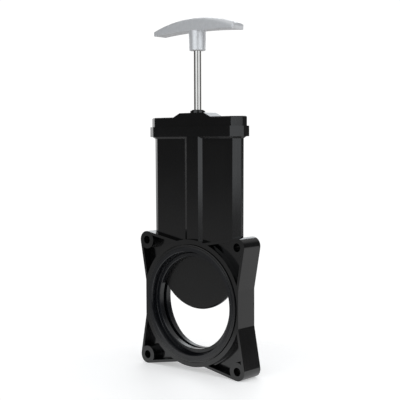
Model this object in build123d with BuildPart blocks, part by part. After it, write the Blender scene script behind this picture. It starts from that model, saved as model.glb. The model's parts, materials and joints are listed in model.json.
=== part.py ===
from build123d import *

import os
from math import acos, atan2, cos, degrees, hypot, radians, sin

# Three-inch slide gate valve for waste pipe: a blade slides up out of the bore into a sleeve.
#
# Frame: the origin is the bore's centre on the valve's mid-plane. +X is the width, +Y runs along the
# bore, and +Z points up along the stem. Millimetres. The blade is drawn about half raised.

# ---- flange and bore ----
FLANGE_HALF_T = 10.3
BOLT_SPACING = 98.4
BOLT_HOLE_R = 3.45
LUG_R = 7.4
HUB_R = 52.4
HUB_ARC_DEG = 16.0
SIDE_FACET_X = 50.4
SIDE_FACET_HALF_Z = 15.0
RIM_T = 2.2
POCKET_DEPTH = 6.8
LEDGE_DEPTH = 3.6
LEDGE_W = 1.3

# ---- seals and their pocket ----
BORE_R = 38.1
PORT_R = 42.6
SEAL_OUTER_R = 46.4
RETAINER_OUTER_R = 48.2
RETAINER_SEAT_DEPTH = 2.3
GROOVE_R = 48.8
GROOVE_DEPTH = 1.0
SEAL_PROUD = 1.8
PORT_FLOOR_Y = 6.4
SEAL_EDGE = 0.4
FLOOR_GROOVE_R = 41.4
FLOOR_GROOVE_DEPTH = 0.6
FLOOR_GROOVE_HALF_W = 0.4

# ---- blade and its slot ----
BLADE_T = 3.0
BLADE_R = 44.0
BLADE_BEVEL = 1.2
BLADE_TOP = 48.0
SIDE_GAP = 0.4
FACE_GAP = 0.3
RAISED = 38.3
HUB_BOSS_HALF_X = 5.6
HUB_BOSS_HALF_Y = 4.6
HUB_BOSS_BOTTOM = 48.4
HUB_BOSS_TOP = 60.0
TEE_BOTTOM = 51.6
TEE_TOP = 56.4
TEE_HALF_X = 3.9
NECK_SLOT_HALF_X = 2.8

# ---- sleeve, rib and collar ----
SLEEVE_BOTTOM_Z = 40.0
SLEEVE_BOTTOM_HALF_X = 46.3
SLEEVE_TOP_HALF_X = 46.8
SLEEVE_HALF_Y = 5.36
SLEEVE_CUT = (5.8, 3.8)
RIB_FACE_HALF_X = 6.2
RIB_ROOT_HALF_X = 9.5
RIB_HALF_Y = 7.06
COLLAR_BOTTOM_Z = 136.2
COLLAR_TOP_Z = 144.5
COLLAR_HALF = (50.8, 9.45)
COLLAR_CUT = (9.1, 6.0)
COVE = 1.6
SOCKET_BOTTOM_Z = 138.5
SOCKET_HALF = (46.4, 6.6)
SOCKET_CUT = (6.0, 4.0)
CHANNEL_HALF = (6.0, 4.9)
CHANNEL_BOTTOM_Z = 47.9

# ---- cap and gland ----
CAP_HALF = (49.1, 7.95)
CAP_CUT = (7.6, 5.2)
CAP_PLATE_TOP_Z = 152.2
CAP_EDGE = 0.7
HUMP_TOP_Z = 155.5
HUMP_TOP_HALF_X = 13.0
HUMP_FOOT_HALF_X = 20.0
GLAND_BOSS_R = 6.2
GLAND_BOSS_TOP_Z = 157.3
GASKET_T = 0.8
SPIGOT_GAP = 0.1
CAP_VOID_X = (9.0, 42.0)
CAP_VOID_HALF_Y = 3.6
CAP_VOID_TOP_Z = 149.4
GLAND_R = 5.0
GLAND_TOP_Z = 152.8
GUIDE_HOLE_R = 3.5
WIPER_SEAT_Z = 155.8
WIPER_TOP_Z = 158.1
WIPER_EDGE = 0.7
BUSH_TOP_Z = 147.4
ORING_MINOR_R = 0.87
LOWER_ORING_Z = 148.3
UPPER_ORING_Z = 151.7
SPACER_Z = (149.2, 150.8)
SPACER_CLEARANCE = 0.05

# ---- stem and its fastening ----
STEM_R = 3.175
STEM_RUNNING_FIT = 0.06
STEM_TOP_Z = 223.0
STEM_CHAMFER = 0.5
NECK_R = 2.5
NUT_R = 3.6
NUT_THREAD_R = 2.0
WASHER_T = 0.8
TEE_GAP = 0.3

# ---- handle ----
HANDLE_HALF_LENGTH = 43.1
HANDLE_HALF_DEPTH = 7.3
HANDLE_CREST_Z = 232.3
HANDLE_CREST_R = 128.0
HANDLE_CROWN = 1.5
HANDLE_TOP_FILLET = 2.4
HANDLE_SWEEP_DEG = 20.0
HANDLE_UNDER_Z = 221.8
HANDLE_END_UNDER_Z = 219.9
HANDLE_CORNER_CUT = 1.3
HANDLE_UNDER_FILLET = 0.6
HANDLE_BOSS_BOTTOM_Z = 206.0
HANDLE_BOSS_R = (6.7, 7.1)
HANDLE_BOSS_EDGE = 0.5
HANDLE_BOSS_OVERLAP = 1.0
SET_SCREW_R = 2.0
SET_SCREW_Z = 213.0
SET_SCREW_RECESS = 0.6
SET_SCREW_HEX_AF = 2.0
SET_SCREW_HEX_DEPTH = 1.6

# ---- worked-out values ----
slot_half_x = BLADE_R + SIDE_GAP
slot_half_y = BLADE_T / 2 + FACE_GAP
bolt_half = BOLT_SPACING / 2
seal_face_y = FLANGE_HALF_T + SEAL_PROUD
retainer_seat_y = FLANGE_HALF_T - RETAINER_SEAT_DEPTH
spigot_bottom_z = SOCKET_BOTTOM_Z + GASKET_T
spigot_half = (SOCKET_HALF[0] - SPIGOT_GAP, SOCKET_HALF[1] - SPIGOT_GAP)
stem_hole_r = STEM_R + STEM_RUNNING_FIT
oring_major_r = stem_hole_r + ORING_MINOR_R
nut_bottom_z = RAISED + TEE_BOTTOM + TEE_GAP
washer_top_z = RAISED + TEE_TOP - TEE_GAP
shoulder_z = RAISED + HUB_BOSS_TOP + TEE_GAP


def tangent_angle(point, centre, radius, turn):
    """Angle, in degrees about centre, where the line from point touches the circle."""
    dx = point[0] - centre[0]
    dy = point[1] - centre[1]
    return degrees(atan2(dy, dx) + turn * acos(radius / hypot(dx, dy)))


def on_circle(centre, radius, angle):
    """Point on a circle at an angle in degrees."""
    return (centre[0] + radius * cos(radians(angle)), centre[1] + radius * sin(radians(angle)))


def octagon_points(half, cut):
    """Corners of a rectangle with its four corners cut off."""
    quarter = [(half[0], half[1] - cut[1]), (half[0] - cut[0], half[1])]
    top = quarter + [(-x, y) for x, y in reversed(quarter)]
    return top + [(-x, -y) for x, y in top]


# ---- flange outline: lugs joined by straight edges that lean in to the hub and the side facets ----
lug_centre = (bolt_half, bolt_half)
facet_end = (SIDE_FACET_X, SIDE_FACET_HALF_Z)
hub_end = on_circle((0, 0), HUB_R, 90 - HUB_ARC_DEG)
side_angle = tangent_angle(facet_end, lug_centre, LUG_R, 1)
top_angle = tangent_angle(hub_end, lug_centre, LUG_R, -1)
with BuildSketch() as flange_outline:
    with BuildLine():
        Polyline((0, 0), (SIDE_FACET_X, 0), facet_end, on_circle(lug_centre, LUG_R, side_angle))
        CenterArc(lug_centre, LUG_R, side_angle, top_angle - side_angle)
        Line(on_circle(lug_centre, LUG_R, top_angle), hub_end)
        CenterArc((0, 0), HUB_R, 90 - HUB_ARC_DEG, HUB_ARC_DEG)
        Line((0, HUB_R), (0, 0))
    make_face()
    mirror(about=Plane.XZ)
    mirror(about=Plane.YZ)

# ---- corner pockets: inside the rim, outside the hub and the lugs ----
pockets = []
for hub_radius in (HUB_R, HUB_R + LEDGE_W):
    with BuildSketch() as pocket:
        add(flange_outline.sketch)
        offset(amount=-RIM_T, mode=Mode.REPLACE)
        Circle(hub_radius, mode=Mode.SUBTRACT)
        with GridLocations(BOLT_SPACING, BOLT_SPACING, 2, 2):
            Circle(LUG_R, mode=Mode.SUBTRACT)
    pockets.append(pocket.sketch)

# ---- valve body: flange, sleeve, rib and collar in one moulding ----
with BuildPart() as valve_body:
    with BuildSketch(Plane.XZ):
        add(flange_outline.sketch)
    extrude(amount=FLANGE_HALF_T, both=True)

    # sleeve, slightly wider at its top
    with BuildSketch(Plane.XY.offset(SLEEVE_BOTTOM_Z)):
        Polygon(*octagon_points((SLEEVE_BOTTOM_HALF_X, SLEEVE_HALF_Y), SLEEVE_CUT), align=None)
    with BuildSketch(Plane.XY.offset(COLLAR_BOTTOM_Z)):
        Polygon(*octagon_points((SLEEVE_TOP_HALF_X, SLEEVE_HALF_Y), SLEEVE_CUT), align=None)
    loft()
    with BuildSketch(Plane.XY.offset(SLEEVE_BOTTOM_Z)):
        rib_cut = (RIB_ROOT_HALF_X - RIB_FACE_HALF_X, RIB_HALF_Y - SLEEVE_HALF_Y)
        Polygon(*octagon_points((RIB_ROOT_HALF_X, RIB_HALF_Y), rib_cut), align=None)
    extrude(amount=COLLAR_BOTTOM_Z - SLEEVE_BOTTOM_Z)

    # cove under the collar, then the collar
    cove_half = (SLEEVE_TOP_HALF_X + COVE, SLEEVE_HALF_Y + COVE)
    with BuildSketch(Plane.XY.offset(COLLAR_BOTTOM_Z - COVE)):
        Polygon(*octagon_points((SLEEVE_TOP_HALF_X, SLEEVE_HALF_Y), SLEEVE_CUT), align=None)
    with BuildSketch(Plane.XY.offset(COLLAR_BOTTOM_Z)):
        Polygon(*octagon_points(cove_half, SLEEVE_CUT), align=None)
    loft()
    with BuildSketch(Plane.XY.offset(COLLAR_BOTTOM_Z)):
        Polygon(*octagon_points(COLLAR_HALF, COLLAR_CUT), align=None)
    extrude(amount=COLLAR_TOP_Z - COLLAR_BOTTOM_Z)

    # corner pockets on both faces: a shallow one against the hub and a deep one past the ledge
    for side in (1, -1):
        for sketch, depth in zip(pockets, (LEDGE_DEPTH, POCKET_DEPTH)):
            with BuildSketch(Plane.XZ.offset(side * FLANGE_HALF_T)):
                add(sketch)
            extrude(amount=-side * depth, mode=Mode.SUBTRACT)

    # bolt holes through the lugs
    with BuildSketch(Plane.XZ):
        with GridLocations(BOLT_SPACING, BOLT_SPACING, 2, 2):
            Circle(BOLT_HOLE_R)
    extrude(amount=FLANGE_HALF_T, both=True, mode=Mode.SUBTRACT)

    # stepped seal pockets, one from each face
    for side in (1, -1):
        with BuildSketch(Plane.XY):
            steps = [
                (0, slot_half_y),
                (SEAL_OUTER_R, slot_half_y),
                (SEAL_OUTER_R, retainer_seat_y),
                (RETAINER_OUTER_R, retainer_seat_y),
                (RETAINER_OUTER_R, FLANGE_HALF_T - GROOVE_DEPTH),
                (GROOVE_R, FLANGE_HALF_T - GROOVE_DEPTH),
                (GROOVE_R, seal_face_y),
                (0, seal_face_y),
            ]
            Polygon(*[(r, side * y) for r, y in steps], align=None)
        revolve(axis=Axis.Y, mode=Mode.SUBTRACT)

    # blade slot: round below, straight above, open through the collar
    with BuildSketch(Plane.XZ):
        Circle(slot_half_x)
        with Locations((0, COLLAR_TOP_Z / 2)):
            Rectangle(2 * slot_half_x, COLLAR_TOP_Z)
    extrude(amount=slot_half_y, both=True, mode=Mode.SUBTRACT)

    # channel for the blade's boss and the stem, and the socket for the cap's spigot
    with BuildSketch(Plane.XY.offset(CHANNEL_BOTTOM_Z)):
        Rectangle(2 * CHANNEL_HALF[0], 2 * CHANNEL_HALF[1])
    extrude(amount=COLLAR_TOP_Z - CHANNEL_BOTTOM_Z, mode=Mode.SUBTRACT)
    with BuildSketch(Plane.XY.offset(SOCKET_BOTTOM_Z)):
        Polygon(*octagon_points(SOCKET_HALF, SOCKET_CUT), align=None)
    extrude(amount=COLLAR_TOP_Z - SOCKET_BOTTOM_Z, mode=Mode.SUBTRACT)

# ---- bonnet cap: plate, hump, gland boss and spigot ----
with BuildPart() as bonnet_cap:
    with BuildSketch(Plane.XY.offset(COLLAR_TOP_Z)):
        Polygon(*octagon_points(CAP_HALF, CAP_CUT), align=None)
    extrude(amount=CAP_PLATE_TOP_Z - COLLAR_TOP_Z)
    chamfer(faces().sort_by(Axis.Z)[-1].edges(), length=CAP_EDGE)
    with BuildSketch(Plane.XZ):
        hump_half = [(HUMP_TOP_HALF_X, HUMP_TOP_Z), (HUMP_FOOT_HALF_X, CAP_PLATE_TOP_Z)]
        hump_half.append((HUMP_FOOT_HALF_X, COLLAR_TOP_Z))
        Polygon(*hump_half, *[(-x, z) for x, z in reversed(hump_half)], align=None)
    extrude(amount=CAP_HALF[1], both=True)
    with BuildSketch(Plane.XY.offset(CAP_PLATE_TOP_Z)):
        Circle(GLAND_BOSS_R)
    extrude(amount=GLAND_BOSS_TOP_Z - CAP_PLATE_TOP_Z)
    with BuildSketch(Plane.XY.offset(spigot_bottom_z)):
        Polygon(*octagon_points(spigot_half, SOCKET_CUT), align=None)
    extrude(amount=COLLAR_TOP_Z - spigot_bottom_z)

    # hollow under the plate on both sides of the gland
    with BuildSketch(Plane.XY.offset(spigot_bottom_z)):
        void_centre = sum(CAP_VOID_X) / 2
        with Locations((void_centre, 0), (-void_centre, 0)):
            Rectangle(CAP_VOID_X[1] - CAP_VOID_X[0], 2 * CAP_VOID_HALF_Y)
    extrude(amount=CAP_VOID_TOP_Z - spigot_bottom_z, mode=Mode.SUBTRACT)

    # room for the blade's boss, then the gland, the guide hole and the wiper's seat
    with BuildSketch(Plane.XY.offset(spigot_bottom_z)):
        Rectangle(2 * CHANNEL_HALF[0], 2 * CHANNEL_HALF[1])
    extrude(amount=COLLAR_TOP_Z - spigot_bottom_z, mode=Mode.SUBTRACT)
    gland_steps = ((COLLAR_TOP_Z, GLAND_R), (GLAND_TOP_Z, GUIDE_HOLE_R), (WIPER_SEAT_Z, GLAND_R))
    gland_ends = (GLAND_TOP_Z, WIPER_SEAT_Z, GLAND_BOSS_TOP_Z)
    for (bottom_z, radius), end_z in zip(gland_steps, gland_ends):
        with BuildSketch(Plane.XY.offset(bottom_z)):
            Circle(radius)
        extrude(amount=end_z - bottom_z, mode=Mode.SUBTRACT)

# ---- flat gasket between the spigot's end and the socket's floor ----
with BuildPart() as cap_seal:
    with BuildSketch(Plane.XY.offset(SOCKET_BOTTOM_Z)):
        Polygon(*octagon_points(spigot_half, SOCKET_CUT), align=None)
        Rectangle(2 * slot_half_x, 2 * slot_half_y, mode=Mode.SUBTRACT)
        Rectangle(2 * CHANNEL_HALF[0], 2 * CHANNEL_HALF[1], mode=Mode.SUBTRACT)
    extrude(amount=GASKET_T)

# ---- main seals: a bead proud of the flange, and a foot with a lip that wipes the blade ----
seal_section = [
    (BORE_R, slot_half_y),
    (BORE_R, PORT_FLOOR_Y - SEAL_EDGE),
    (BORE_R + SEAL_EDGE, PORT_FLOOR_Y),
    (FLOOR_GROOVE_R - FLOOR_GROOVE_HALF_W, PORT_FLOOR_Y),
    (FLOOR_GROOVE_R, PORT_FLOOR_Y - FLOOR_GROOVE_DEPTH),
    (FLOOR_GROOVE_R + FLOOR_GROOVE_HALF_W, PORT_FLOOR_Y),
    (PORT_R, PORT_FLOOR_Y),
    (PORT_R, seal_face_y - SEAL_EDGE),
    (PORT_R + SEAL_EDGE, seal_face_y),
    (SEAL_OUTER_R - SEAL_EDGE, seal_face_y),
    (SEAL_OUTER_R, seal_face_y - SEAL_EDGE),
    (SEAL_OUTER_R, slot_half_y),
]
retainer_section = [
    (SEAL_OUTER_R, retainer_seat_y),
    (RETAINER_OUTER_R, retainer_seat_y),
    (RETAINER_OUTER_R, seal_face_y - 2 * SEAL_EDGE),
    (RETAINER_OUTER_R - SEAL_EDGE, seal_face_y - SEAL_EDGE),
    (SEAL_OUTER_R, seal_face_y - SEAL_EDGE),
]
rings = {}
for end, side in (("front", -1), ("rear", 1)):
    for ring_name, section in (("seal", seal_section), ("seal_retainer", retainer_section)):
        with BuildPart() as ring:
            with BuildSketch(Plane.XY):
                Polygon(*[(r, side * y) for r, y in section], align=None)
            revolve(axis=Axis.Y)
        rings[end + "_" + ring_name] = ring

# ---- gate blade: half-round end, straight sides, and a boss with a T-slot for the stem's nut ----
with BuildPart() as gate_blade:
    with BuildSketch(Plane.XZ):
        with Locations((0, RAISED)):
            Circle(BLADE_R)
        with Locations((0, RAISED + BLADE_TOP / 2)):
            Rectangle(2 * BLADE_R, BLADE_TOP)
    extrude(amount=BLADE_T / 2, both=True)
    chamfer(edges().filter_by(GeomType.CIRCLE).sort_by(Axis.Y)[0], length=BLADE_BEVEL)
    with BuildSketch(Plane.XZ):
        foot_z = RAISED + BLADE_TOP - BLADE_T
        with Locations((0, (foot_z + RAISED + HUB_BOSS_TOP) / 2)):
            Rectangle(2 * HUB_BOSS_HALF_X, RAISED + HUB_BOSS_TOP - foot_z)
    extrude(amount=BLADE_T / 2, both=True)
    with BuildSketch(Plane.XY.offset(RAISED + HUB_BOSS_BOTTOM)):
        Rectangle(2 * HUB_BOSS_HALF_X, 2 * HUB_BOSS_HALF_Y)
    extrude(amount=HUB_BOSS_TOP - HUB_BOSS_BOTTOM)
    tee_levels = ((TEE_BOTTOM, TEE_TOP, TEE_HALF_X), (TEE_TOP, HUB_BOSS_TOP, NECK_SLOT_HALF_X))
    for bottom, top, half_x in tee_levels:
        with BuildSketch(Plane.XY.offset(RAISED + bottom)):
            Circle(half_x)
            with Locations((0, -HUB_BOSS_HALF_Y / 2)):
                Rectangle(2 * half_x, HUB_BOSS_HALF_Y)
        extrude(amount=top - bottom, mode=Mode.SUBTRACT)

# ---- stem: thread for the nut, neck through the T-slot, and the polished rod ----
with BuildPart() as stem:
    nut_top_z = washer_top_z - WASHER_T
    stem_steps = (
        (nut_bottom_z, nut_top_z, NUT_THREAD_R),
        (nut_top_z, shoulder_z, NECK_R),
        (shoulder_z, STEM_TOP_Z, STEM_R),
    )
    for bottom_z, top_z, radius in stem_steps:
        with BuildSketch(Plane.XY.offset(bottom_z)):
            Circle(radius)
        extrude(amount=top_z - bottom_z)
    chamfer(faces().sort_by(Axis.Z)[-1].edges(), length=STEM_CHAMFER)

# ---- plain round pieces on the stem's axis ----
round_pieces = {
    "stem_nut": (nut_bottom_z, nut_top_z, NUT_R, NUT_THREAD_R),
    "thrust_washer": (nut_top_z, washer_top_z, NUT_R, NECK_R),
    "gland_bush": (COLLAR_TOP_Z, BUSH_TOP_Z, GLAND_R, stem_hole_r),
    "oring_spacer": (*SPACER_Z, GLAND_R - SPACER_CLEARANCE, stem_hole_r),
}
gland_pieces = {}
for piece_name, (bottom_z, top_z, outer_r, inner_r) in round_pieces.items():
    with BuildPart() as collar_piece:
        with BuildSketch(Plane.XY.offset(bottom_z)):
            Circle(outer_r)
            Circle(inner_r, mode=Mode.SUBTRACT)
        extrude(amount=top_z - bottom_z)
    gland_pieces[piece_name] = collar_piece

for piece_name, height in (("lower_stem_oring", LOWER_ORING_Z), ("upper_stem_oring", UPPER_ORING_Z)):
    with BuildPart(Plane.XY.offset(height)) as oring:
        Torus(oring_major_r, ORING_MINOR_R)
    gland_pieces[piece_name] = oring

with BuildPart() as wiper_ring:
    with BuildSketch(Plane.XY.offset(WIPER_SEAT_Z)):
        Circle(GLAND_R)
        Circle(stem_hole_r, mode=Mode.SUBTRACT)
    extrude(amount=WIPER_TOP_Z - WIPER_SEAT_Z)
    fillet(faces().sort_by(Axis.Z)[-1].edges().sort_by(SortBy.RADIUS)[-1], radius=WIPER_EDGE)

# ---- handle: arched bar with a crowned section, on a tapered boss ----
with BuildPart() as handle:
    with BuildSketch(Plane.YZ):
        with BuildLine():
            shoulder = (HANDLE_HALF_DEPTH, HANDLE_CREST_Z - HANDLE_CROWN)
            far_shoulder = (-HANDLE_HALF_DEPTH, HANDLE_CREST_Z - HANDLE_CROWN)
            section_foot = HANDLE_END_UNDER_Z - HANDLE_HALF_DEPTH
            ThreePointArc(shoulder, (0, HANDLE_CREST_Z), far_shoulder)
            Line(far_shoulder, (-HANDLE_HALF_DEPTH, section_foot))
            Line((-HANDLE_HALF_DEPTH, section_foot), (HANDLE_HALF_DEPTH, section_foot))
            Line((HANDLE_HALF_DEPTH, section_foot), shoulder)
        make_face()
        fillet(vertices().group_by(Axis.Y)[-1], radius=HANDLE_TOP_FILLET)
    crest_axis = Axis((0, 0, HANDLE_CREST_Z - HANDLE_CREST_R), (0, 1, 0))
    revolve(axis=crest_axis, revolution_arc=HANDLE_SWEEP_DEG)
    mirror(about=Plane.YZ)

    # side profile: square ends and a gently arched underside
    with BuildSketch(Plane.XZ):
        with BuildLine():
            right_under = (HANDLE_HALF_LENGTH, HANDLE_END_UNDER_Z)
            left_under = (-HANDLE_HALF_LENGTH, HANDLE_END_UNDER_Z)
            right_top = (HANDLE_HALF_LENGTH, HANDLE_CREST_Z)
            left_top = (-HANDLE_HALF_LENGTH, HANDLE_CREST_Z)
            ThreePointArc(right_under, (0, HANDLE_UNDER_Z), left_under)
            Polyline(left_under, left_top, right_top, right_under)
        make_face()
    extrude(amount=HANDLE_HALF_DEPTH, both=True, mode=Mode.INTERSECT)

    # plan view: cut corners
    with BuildSketch(Plane.XY.offset(HANDLE_END_UNDER_Z)):
        Rectangle(2 * HANDLE_HALF_LENGTH, 2 * HANDLE_HALF_DEPTH)
        chamfer(vertices(), length=HANDLE_CORNER_CUT)
    extrude(amount=HANDLE_CREST_Z - HANDLE_END_UNDER_Z, mode=Mode.INTERSECT)
    underside = faces().filter_by(GeomType.CYLINDER).sort_by(SortBy.AREA)[-1]
    fillet(underside.edges(), radius=HANDLE_UNDER_FILLET)
    with BuildSketch(Plane.XY.offset(HANDLE_BOSS_BOTTOM_Z)):
        Circle(HANDLE_BOSS_R[0])
    with BuildSketch(Plane.XY.offset(HANDLE_UNDER_Z + HANDLE_BOSS_OVERLAP)):
        Circle(HANDLE_BOSS_R[1])
    loft()
    chamfer(faces().sort_by(Axis.Z)[0].edges(), length=HANDLE_BOSS_EDGE)
    with BuildSketch(Plane.XY.offset(HANDLE_BOSS_BOTTOM_Z)):
        Circle(STEM_R)
    extrude(amount=STEM_TOP_Z - HANDLE_BOSS_BOTTOM_Z, mode=Mode.SUBTRACT)
    with BuildSketch(Plane.XZ.offset(-HANDLE_BOSS_R[1])):
        with Locations((0, SET_SCREW_Z)):
            Circle(SET_SCREW_R)
    extrude(amount=HANDLE_BOSS_R[1], mode=Mode.SUBTRACT)

# ---- set screw in the boss, behind the stem ----
with BuildPart() as handle_set_screw:
    with BuildSketch(Plane.XZ.offset(-(HANDLE_BOSS_R[0] - SET_SCREW_RECESS))):
        with Locations((0, SET_SCREW_Z)):
            Circle(SET_SCREW_R)
    extrude(amount=HANDLE_BOSS_R[0] - SET_SCREW_RECESS - STEM_R)
    with BuildSketch(Plane.XZ.offset(-(HANDLE_BOSS_R[0] - SET_SCREW_RECESS))):
        with Locations((0, SET_SCREW_Z)):
            RegularPolygon(SET_SCREW_HEX_AF / 2, 6, major_radius=False)
    extrude(amount=SET_SCREW_HEX_DEPTH, mode=Mode.SUBTRACT)

# ---- write one STEP per piece ----
pieces = {
    "valve_body": valve_body,
    "bonnet_cap": bonnet_cap,
    "cap_seal": cap_seal,
    **rings,
    "gate_blade": gate_blade,
    "stem": stem,
    **gland_pieces,
    "wiper_ring": wiper_ring,
    "handle": handle,
    "handle_set_screw": handle_set_screw,
}
os.makedirs("parts", exist_ok=True)
for label, piece in pieces.items():
    piece.part.label = label
    export_step(piece.part, f"parts/{label}.step")
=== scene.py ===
"""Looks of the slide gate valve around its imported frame: materials, floor, lights and camera."""

import json
import math

import bpy
from mathutils import Matrix, Vector


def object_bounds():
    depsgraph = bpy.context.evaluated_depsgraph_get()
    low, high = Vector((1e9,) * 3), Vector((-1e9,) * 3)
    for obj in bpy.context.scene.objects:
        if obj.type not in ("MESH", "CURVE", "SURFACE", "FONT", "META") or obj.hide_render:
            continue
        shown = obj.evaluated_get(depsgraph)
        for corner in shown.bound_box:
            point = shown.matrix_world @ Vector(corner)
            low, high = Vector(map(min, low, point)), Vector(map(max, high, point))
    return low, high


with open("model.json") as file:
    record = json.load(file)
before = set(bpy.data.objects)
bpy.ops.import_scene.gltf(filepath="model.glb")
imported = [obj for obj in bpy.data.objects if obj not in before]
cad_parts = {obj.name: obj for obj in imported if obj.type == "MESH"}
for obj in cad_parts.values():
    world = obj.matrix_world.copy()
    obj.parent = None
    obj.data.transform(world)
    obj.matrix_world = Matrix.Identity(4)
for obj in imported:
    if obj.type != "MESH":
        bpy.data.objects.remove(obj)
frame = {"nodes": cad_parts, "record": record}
cad_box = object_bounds()

# ---- driving values, in metres and degrees ----
CAMERA_PLACE = (0.5139, -0.5818, 0.1311)
CAMERA_AZIMUTH = 41.34
CAMERA_DOWN = 3.45
CAMERA_ROLL = -0.24
LENS_MM = 85.2
SENSOR_MM = 36.0
BLUISH_WHITE = (0.93, 0.97, 1.0)
NEUTRAL_WHITE = (1.0, 1.0, 1.0)
ABS_IOR = 1.56

# The part of a noise value's range that the materials use.
NOISE_LOW = 0.3
NOISE_HIGH = 0.7

# Sockets of a Mix node in colour mode, which can only be told apart by number.
MIX_FACTOR = 0
MIX_FIRST_COLOUR = 6
MIX_SECOND_COLOUR = 7
MIX_RESULT = 2

# ---- node helpers ----


def new_material(name):
    """A new node material; returns the material, its node tree and its shader."""
    material = bpy.data.materials.new(name)
    material.use_nodes = True
    tree = material.node_tree
    shader = tree.nodes["Principled BSDF"]
    return material, tree, shader


def add_node(tree, kind, **inputs):
    """Adds a node and sets inputs by name; an input given as a socket is linked instead."""
    node = tree.nodes.new(kind)
    for name, value in inputs.items():
        socket = node.inputs[name.replace("_", " ")]
        if isinstance(value, bpy.types.NodeSocket):
            tree.links.new(value, socket)
        else:
            socket.default_value = value
    return node


def object_coordinates(tree, stretch=(1, 1, 1)):
    """Object-space position, scaled along each axis."""
    place = tree.nodes.new("ShaderNodeTexCoord").outputs["Object"]
    mapping = add_node(tree, "ShaderNodeMapping", Vector=place, Scale=stretch)
    return mapping.outputs["Vector"]


def noise(tree, place, scale=1.0, detail=3.0, roughness=0.5):
    """A noise value between 0 and 1, with scale in features per metre of place."""
    node = add_node(tree, "ShaderNodeTexNoise", Vector=place, Scale=scale, Detail=detail, Roughness=roughness)
    return node.outputs["Fac"]


def remap(tree, value, low, high):
    """Maps a noise value onto a range."""
    node = add_node(tree, "ShaderNodeMapRange", Value=value)
    node.inputs["From Min"].default_value = NOISE_LOW
    node.inputs["From Max"].default_value = NOISE_HIGH
    node.inputs["To Min"].default_value = low
    node.inputs["To Max"].default_value = high
    return node.outputs["Result"]


def mix_colours(tree, factor, first, second):
    """Blend of two colours by a factor socket."""
    node = tree.nodes.new("ShaderNodeMix")
    node.data_type = "RGBA"
    tree.links.new(factor, node.inputs[MIX_FACTOR])
    node.inputs[MIX_FIRST_COLOUR].default_value = (*first, 1)
    node.inputs[MIX_SECOND_COLOUR].default_value = (*second, 1)
    return node.outputs[MIX_RESULT]


def add_bump(tree, shader, height, distance):
    """Bump from a height value; distance is the real depth in metres."""
    bump = add_node(tree, "ShaderNodeBump", Height=height, Strength=1.0, Distance=distance)
    tree.links.new(bump.outputs["Normal"], shader.inputs["Normal"])


# ---- materials ----
# Noise sizes are in features per metre. Three numbers give them along X, Y and Z.
PLASTIC_MOTTLE = 45.0
PLASTIC_GRAIN = 2600.0
DRAW_LINES = (900, 900, 12)
DRAW_LINE_ROUGHNESS = (-0.01, 0.015)
RUBBER_WET_PATCHES = 90.0
RUBBER_RIPPLE = 700.0
ROD_LINES = (60, 60, 5000)
ROD_LINE_DEPTH = 0.4e-6
ROD_SMEAR = 160.0
ROD_SMEAR_SHADE = 0.94
CAST_METALLIC = 0.45
CAST_MOTTLE = 260.0
CAST_MOTTLE_SHADE = 0.9
CAST_GRAIN = 2400.0
TOOL_MARKS = (40, 40, 3000)
TOOL_MARK_DEPTH = 2e-6
STEEL_WEAR = 1500.0
STEEL_DARK = (0.03, 0.03, 0.032)
STEEL_WORN = (0.09, 0.09, 0.09)
STEEL_ROUGH = (0.3, 0.5)


def moulded_plastic(name, dark, light, rough, grain_depth):
    """Black moulded plastic: fine grain, faint draw lines along the sleeve and slightly uneven gloss."""
    material, tree, shader = new_material(name)
    shader.inputs["IOR"].default_value = ABS_IOR
    place = object_coordinates(tree)
    broad = noise(tree, place, PLASTIC_MOTTLE, detail=4.0)
    fine = noise(tree, place, PLASTIC_GRAIN, detail=2.0)
    draw_lines = noise(tree, object_coordinates(tree, DRAW_LINES))
    tree.links.new(mix_colours(tree, remap(tree, broad, 0, 1), dark, light), shader.inputs["Base Color"])
    uneven = add_node(tree, "ShaderNodeMath")
    uneven.operation = "ADD"
    tree.links.new(remap(tree, broad, *rough), uneven.inputs[0])
    tree.links.new(remap(tree, draw_lines, *DRAW_LINE_ROUGHNESS), uneven.inputs[1])
    tree.links.new(uneven.outputs[0], shader.inputs["Roughness"])
    add_bump(tree, shader, fine, grain_depth)
    return material


def rubber(name, dark, light, rough, ripple_depth):
    """Smooth black rubber, wetter in some places from its lubricant."""
    material, tree, shader = new_material(name)
    place = object_coordinates(tree)
    wet = noise(tree, place, RUBBER_WET_PATCHES)
    ripple = noise(tree, place, RUBBER_RIPPLE, detail=2.0)
    tree.links.new(mix_colours(tree, remap(tree, wet, 0, 1), dark, light), shader.inputs["Base Color"])
    tree.links.new(remap(tree, wet, *rough), shader.inputs["Roughness"])
    add_bump(tree, shader, ripple, ripple_depth)
    return material


def polished_rod(name, colour, rough):
    """Bright drawn stainless with fine lines round the rod."""
    material, tree, shader = new_material(name)
    shader.inputs["Metallic"].default_value = 1.0
    lines = noise(tree, object_coordinates(tree, ROD_LINES))
    smear = noise(tree, object_coordinates(tree), ROD_SMEAR, detail=2.0)
    smeared = tuple(channel * ROD_SMEAR_SHADE for channel in colour)
    tree.links.new(mix_colours(tree, remap(tree, smear, 0, 1), colour, smeared), shader.inputs["Base Color"])
    tree.links.new(remap(tree, lines, *rough), shader.inputs["Roughness"])
    add_bump(tree, shader, lines, ROD_LINE_DEPTH)
    return material


def cast_metal(name, colour, rough, grain_depth):
    """Silver-finished cast aluminium with a sandy grain and slight mottling."""
    material, tree, shader = new_material(name)
    shader.inputs["Metallic"].default_value = CAST_METALLIC
    place = object_coordinates(tree)
    mottle = noise(tree, place, CAST_MOTTLE, detail=4.0)
    grain = noise(tree, place, CAST_GRAIN, roughness=0.6)
    duller = tuple(channel * CAST_MOTTLE_SHADE for channel in colour)
    tree.links.new(mix_colours(tree, remap(tree, mottle, 0, 1), colour, duller), shader.inputs["Base Color"])
    tree.links.new(remap(tree, mottle, *rough), shader.inputs["Roughness"])
    add_bump(tree, shader, grain, grain_depth)
    return material


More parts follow.
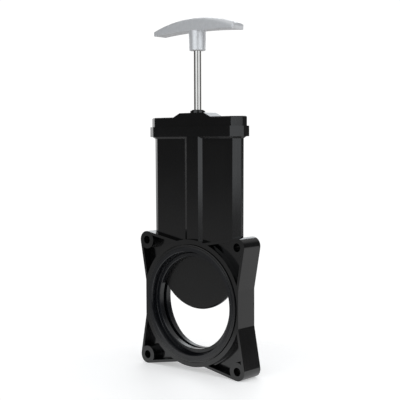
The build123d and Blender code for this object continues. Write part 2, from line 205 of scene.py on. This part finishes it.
def plain_plastic(name, dark, light, rough):
    """Turned natural plastic with tool marks round its axis."""
    material, tree, shader = new_material(name)
    marks = noise(tree, object_coordinates(tree, TOOL_MARKS), detail=2.0)
    tree.links.new(mix_colours(tree, remap(tree, marks, 0, 1), dark, light), shader.inputs["Base Color"])
    tree.links.new(remap(tree, marks, *rough), shader.inputs["Roughness"])
    add_bump(tree, shader, marks, TOOL_MARK_DEPTH)
    return material


def blackened_steel(name):
    """Black-oxide steel: dark, semi-gloss and slightly worn in scattered patches."""
    material, tree, shader = new_material(name)
    shader.inputs["Metallic"].default_value = 1.0
    wear = noise(tree, object_coordinates(tree), STEEL_WEAR)
    colour = mix_colours(tree, remap(tree, wear, 0, 1), STEEL_DARK, STEEL_WORN)
    tree.links.new(colour, shader.inputs["Base Color"])
    tree.links.new(remap(tree, wear, *STEEL_ROUGH), shader.inputs["Roughness"])
    return material


materials = {
    "body_plastic": moulded_plastic(
        "abs_black",
        dark=(0.0024, 0.0024, 0.0026),
        light=(0.0036, 0.0036, 0.0038),
        rough=(0.13, 0.17),
        grain_depth=2e-6,
    ),
    "ring_plastic": moulded_plastic(
        "ring_black",
        dark=(0.004, 0.004, 0.0045),
        light=(0.0055, 0.0055, 0.006),
        rough=(0.26, 0.32),
        grain_depth=3e-6,
    ),
    "blade_plastic": moulded_plastic(
        "blade_black",
        dark=(0.0015, 0.0015, 0.0015),
        light=(0.0025, 0.0025, 0.0025),
        rough=(0.22, 0.28),
        grain_depth=3e-6,
    ),
    "seal_rubber": rubber(
        "seal_black",
        dark=(0.004, 0.0045, 0.0062),
        light=(0.006, 0.0066, 0.0085),
        rough=(0.2, 0.28),
        ripple_depth=2e-6,
    ),
    "wiper_rubber": rubber(
        "wiper_black",
        dark=(0.008, 0.008, 0.008),
        light=(0.012, 0.012, 0.012),
        rough=(0.3, 0.42),
        ripple_depth=8e-6,
    ),
    "stainless": polished_rod("stainless", colour=(0.6, 0.585, 0.565), rough=(0.06, 0.1)),
    "cast_aluminium": cast_metal(
        "cast_aluminium",
        colour=(0.88, 0.89, 0.91),
        rough=(0.34, 0.42),
        grain_depth=3e-6,
    ),
    "black_steel": blackened_steel("black_steel"),
    "acetal": plain_plastic(
        "acetal",
        dark=(0.72, 0.71, 0.67),
        light=(0.78, 0.77, 0.74),
        rough=(0.35, 0.45),
    ),
}
slot_of_node = {row["node"]: row["material_slot"] for row in frame["record"]["subparts"]}

for node_name, node_object in frame["nodes"].items():
    material = materials[slot_of_node[node_name]]
    slots = node_object.data.materials
    if slots:
        for index in range(len(slots)):
            slots[index] = material
    else:
        slots.append(material)

# ---- camera ----


def place_camera():
    """Camera at the viewing angle, from its azimuth, downward tilt and roll."""
    azimuth = math.radians(CAMERA_AZIMUTH)
    down = math.radians(CAMERA_DOWN)
    roll = math.radians(CAMERA_ROLL)
    back = Vector(
        (math.sin(azimuth) * math.cos(down), -math.cos(azimuth) * math.cos(down), math.sin(down))
    )
    right = Vector((math.cos(azimuth), math.sin(azimuth), 0))
    up = back.cross(right)
    rolled_right = math.cos(roll) * right + math.sin(roll) * up
    rolled_up = -math.sin(roll) * right + math.cos(roll) * up
    rotation = Matrix((rolled_right, rolled_up, back)).transposed()
    data = bpy.data.cameras.new("camera")
    data.lens = LENS_MM
    data.sensor_width = SENSOR_MM
    camera = bpy.data.objects.new("camera", data)
    camera.matrix_world = Matrix.Translation(CAMERA_PLACE) @ rotation.to_4x4()
    bpy.context.scene.collection.objects.link(camera)
    bpy.context.scene.camera = camera


place_camera()

# ---- floor ----
FLOOR_RADIUS = 0.2
FLOOR_FULL_RADIUS = 0.08
FLOOR_SIDES = 96
FLOOR_GREY = 0.85
FLOOR_ROUGHNESS = 0.6
FLOOR_GLOW = 0.4


def make_floor():
    """White table top that fades into the white surroundings."""
    lowest_corner = cad_box[0]
    bpy.ops.mesh.primitive_circle_add(
        vertices=FLOOR_SIDES,
        radius=FLOOR_RADIUS,
        fill_type="NGON",
        location=(0, 0, lowest_corner[2]),
    )
    floor = bpy.context.object
    floor.name = "floor"
    material, tree, shader = new_material("table_white")
    shader.inputs["Base Color"].default_value = (FLOOR_GREY, FLOOR_GREY, FLOOR_GREY, 1)
    shader.inputs["Roughness"].default_value = FLOOR_ROUGHNESS
    shader.inputs["Emission Color"].default_value = (*NEUTRAL_WHITE, 1)
    shader.inputs["Emission Strength"].default_value = FLOOR_GLOW
    place = tree.nodes.new("ShaderNodeTexCoord").outputs["Object"]
    distance = add_node(tree, "ShaderNodeVectorMath")
    distance.operation = "LENGTH"
    tree.links.new(place, distance.inputs[0])
    fade = add_node(tree, "ShaderNodeMapRange", Value=distance.outputs["Value"])
    fade.interpolation_type = "SMOOTHSTEP"
    fade.inputs["From Min"].default_value = FLOOR_FULL_RADIUS
    fade.inputs["From Max"].default_value = FLOOR_RADIUS
    fade.inputs["To Min"].default_value = 1.0
    fade.inputs["To Max"].default_value = 0.0
    tree.links.new(fade.outputs["Result"], shader.inputs["Alpha"])
    floor.data.materials.append(material)


make_floor()

# ---- lights: two large softboxes, one each side of the camera, and a smaller one at the back ----
SOFTBOXES = {
    "front_softbox": {
        "azimuth": -84.5,
        "distance": 0.95,
        "height": 0.46,
        "size": (1.1, 0.97),
        "radiance": 1.27,
    },
    "side_softbox": {
        "azimuth": -6,
        "distance": 0.95,
        "height": 0.46,
        "size": (0.98, 0.95),
        "radiance": 1.25,
    },
    "back_softbox": {
        "azimuth": 124,
        "distance": 1.0,
        "height": 0.6,
        "size": (0.6, 0.4),
        "radiance": 2.2,
    },
}
AIM = Vector((0, 0, 0.08))


def add_softbox(name, azimuth, distance, height, size, radiance):
    """Rectangular area light aimed at the object, with its power worked out from its radiance."""
    data = bpy.data.lights.new(name, "AREA")
    data.shape = "RECTANGLE"
    data.size, data.size_y = size
    data.energy = radiance * math.pi * size[0] * size[1]
    data.color = BLUISH_WHITE
    light = bpy.data.objects.new(name, data)
    angle = math.radians(azimuth)
    place = Vector((distance * math.cos(angle), distance * math.sin(angle), height))
    turn = (AIM - place).to_track_quat("-Z", "Y").to_matrix().to_4x4()
    light.matrix_world = Matrix.Translation(place) @ turn
    light.visible_camera = False
    bpy.context.scene.collection.objects.link(light)


for softbox, values in SOFTBOXES.items():
    add_softbox(softbox, **values)

# ---- surroundings: soft-edged patches of light, each brightest towards one direction ----
# start and end are the cosines of the angle from that direction at which a patch begins and is full.
# The patches with a level of 1 only limit the others.
BASE_LEVEL = 0.09
SEEN_LEVEL = 1.05
UP = (0, 0, 1)
DOWN = (0, 0, -1)
PATCHES = {
    "back_wall": {"towards": (-0.616, 0.788, 0), "start": 0.45, "end": 0.62, "level": 0.95},
    "below_ceiling": {"towards": DOWN, "start": -0.45, "end": -0.2, "level": 1.0},
    "above_ground": {"towards": UP, "start": -0.12, "end": 0.02, "level": 1.0},
    "ground": {"towards": DOWN, "start": 0.0, "end": 0.14, "level": 0.28},
    "side_wall": {"towards": (0.64, 0.77, 0), "start": 0.8, "end": 0.95, "level": 0.35},
    "below_horizon": {"towards": DOWN, "start": -0.02, "end": 0.12, "level": 1.0},
    "ceiling": {"towards": (0.1, 0.1, 1), "start": 0.5, "end": 0.85, "level": 0.6},
}


def make_world():
    """White behind the object, dim in front, and white wherever the camera looks past the object."""
    world = bpy.data.worlds.new("studio")
    bpy.context.scene.world = world
    world.use_nodes = True
    tree = world.node_tree
    tree.nodes.clear()
    direction = tree.nodes.new("ShaderNodeTexCoord").outputs["Generated"]

    def patch(towards, start, end, level):
        """The level of one soft-edged patch of light."""
        dot = add_node(tree, "ShaderNodeVectorMath")
        dot.operation = "DOT_PRODUCT"
        tree.links.new(direction, dot.inputs[0])
        dot.inputs[1].default_value = Vector(towards).normalized()
        edge = add_node(tree, "ShaderNodeMapRange", Value=dot.outputs["Value"])
        edge.interpolation_type = "SMOOTHSTEP"
        edge.inputs["From Min"].default_value = start
        edge.inputs["From Max"].default_value = end
        edge.inputs["To Min"].default_value = 0.0
        edge.inputs["To Max"].default_value = level
        return edge.outputs["Result"]

    def combine(operation, first, second):
        """Joins two values, each a number or a socket."""
        result = add_node(tree, "ShaderNodeMath")
        result.operation = operation
        for socket, value in zip(result.inputs, (first, second)):
            if isinstance(value, bpy.types.NodeSocket):
                tree.links.new(value, socket)
            else:
                socket.default_value = value
        return result.outputs[0]

    def add_up(first, second):
        return combine("ADD", first, second)

    def multiply(first, second):
        return combine("MULTIPLY", first, second)

    levels = {name: patch(**values) for name, values in PATCHES.items()}
    back_band = multiply(levels["back_wall"], multiply(levels["below_ceiling"], levels["above_ground"]))
    ground_at_side = multiply(levels["side_wall"], levels["below_horizon"])
    walls = add_up(BASE_LEVEL, back_band)
    grounds = add_up(levels["ground"], ground_at_side)
    level = add_up(walls, add_up(grounds, levels["ceiling"]))
    surroundings = add_node(tree, "ShaderNodeBackground", Color=(*NEUTRAL_WHITE, 1), Strength=level)
    seen = add_node(tree, "ShaderNodeBackground", Color=(*NEUTRAL_WHITE, 1), Strength=SEEN_LEVEL)
    ray = tree.nodes.new("ShaderNodeLightPath")
    mix = add_node(tree, "ShaderNodeMixShader", Fac=ray.outputs["Is Camera Ray"])
    tree.links.new(surroundings.outputs[0], mix.inputs[1])
    tree.links.new(seen.outputs[0], mix.inputs[2])
    output = tree.nodes.new("ShaderNodeOutputWorld")
    tree.links.new(mix.outputs[0], output.inputs["Surface"])


make_world()
bpy.context.scene.view_settings.view_transform = "Standard"
